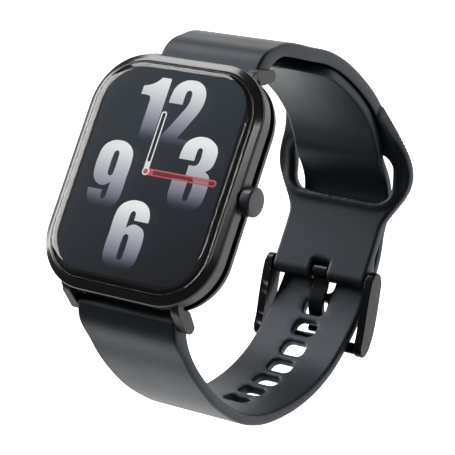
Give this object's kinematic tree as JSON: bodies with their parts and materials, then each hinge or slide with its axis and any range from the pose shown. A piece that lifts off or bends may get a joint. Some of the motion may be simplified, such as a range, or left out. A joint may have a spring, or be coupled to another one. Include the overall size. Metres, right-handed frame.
{
  "type": "smartwatch",
  "caption": "Smartwatch with a curved rectangular glass front, a side crown button and a closed two-part silicone strap with a pin buckle",
  "frame": {"origin": "centre of the sensor window's outer face, the lowest point of the case back", "axes": "+X to the crown (3 o'clock), +Y to 12 o'clock, +Z out of the dial"},
  "size_m": [0.0399, 0.0727, 0.0738],
  "materials": {
    "glass": "clear black-bordered cover glass, polished",
    "display": "dark display panel",
    "adhesive": "soft black adhesive",
    "thin_metal": "thin bright sheet",
    "ribbon": "amber flexible circuit",
    "bezel": "gloss black coated metal",
    "case": "satin dark grey coated aluminium",
    "bracket": "matte dark plastic",
    "board": "green lacquered circuit board",
    "chip": "matte black moulded chips",
    "battery": "foil pouch",
    "antenna": "plated strip",
    "steel": "brushed steel",
    "tungsten": "dense sintered metal",
    "white_plastic": "white low-friction plastic",
    "rubber": "black rubber",
    "back": "satin black plastic",
    "window": "dark polished window",
    "lamp": "clear green lamps",
    "diode": "dark diodes",
    "gold": "gold plated",
    "magnet": "nickel plated",
    "silicone": "soft satin black silicone",
    "buckle": "satin black coated steel"
  },
  "bodies": {
    "watch": {"cover_glass": "glass", "glass_adhesive": "adhesive", "display_panel": "display", "panel_backing": "thin_metal", "display_flex": "ribbon", "bezel": "bezel", "middle_case": "case", "inner_bracket": "bracket", "main_board": "board", "shield_can": "thin_metal", "board_chips": "chip", "battery": "battery", "antenna_strip": "antenna", "motor_can": "steel", "motor_base": "steel", "crown_bush": "steel", "switch_body": "chip", "back_gasket": "rubber", "back_cover": "back", "back_screws": "steel", "sensor_window": "window", "sensor_board": "board", "sensor_leds": "lamp", "photodiodes": "diode", "charge_contacts": "gold", "charge_magnets": "magnet", "strap_buckle_half": "silicone", "strap_hole_half": "silicone", "top_bar_tube": "steel", "top_bar_tip": "steel", "top_bar_spring": "steel", "bottom_bar_tube": "steel", "bottom_bar_tip": "steel", "bottom_bar_spring": "steel", "buckle_pin": "steel"},
    "press": {"crown_washer": "white_plastic"},
    "crown": {"crown_cap": "case", "crown_stem": "steel", "crown_o_ring": "rubber", "crown_clip": "steel"},
    "plunger": {"switch_plunger": "white_plastic"},
    "top_knob": {"top_bar_release": "steel"},
    "bottom_knob": {"bottom_bar_release": "steel"},
    "weight": {"motor_weight": "tungsten"},
    "frame": {"buckle_frame": "buckle"},
    "tongue": {"buckle_tongue": "buckle"}
  },
  "joints": [
    {"name": "crown_press", "type": "slide", "parent": "watch", "child": "press", "axis": [-1, 0, 0], "range_m": [0, 0.0004], "stiffness_N_per_m": 900},
    {"name": "crown_turn", "type": "hinge", "parent": "press", "child": "crown", "pos_m": [0.0189, -0.0005, 0.0058], "axis": [1, 0, 0], "continuous": true},
    {"name": "switch_press", "type": "slide", "parent": "watch", "child": "plunger", "axis": [-1, 0, 0], "range_m": [0, 0.0004]},
    {"name": "top_release", "type": "slide", "parent": "watch", "child": "top_knob", "axis": [-1, 0, 0], "range_m": [0, 0.0013], "stiffness_N_per_m": 400, "deforming": ["top_bar_spring"]},
    {"name": "bottom_release", "type": "slide", "parent": "watch", "child": "bottom_knob", "axis": [-1, 0, 0], "range_m": [0, 0.0013], "stiffness_N_per_m": 400, "deforming": ["bottom_bar_spring"]},
    {"name": "motor_spin", "type": "hinge", "parent": "watch", "child": "weight", "pos_m": [-0.0065, -0.0142, 0.005], "axis": [0, 0, 1], "continuous": true},
    {"name": "buckle_swing", "type": "hinge", "parent": "watch", "child": "frame", "pos_m": [0, 0.0026, -0.0584], "axis": [1, 0, 0], "range_deg": [0, 80]},
    {"name": "tongue_swing", "type": "hinge", "parent": "watch", "child": "tongue", "pos_m": [0, 0.0026, -0.0584], "axis": [1, 0, 0], "range_deg": [0, 0.6]}
  ],
  "couplings": [
    {"joint": "switch_press", "follows": "crown_press", "ratio": 1}
  ]
}
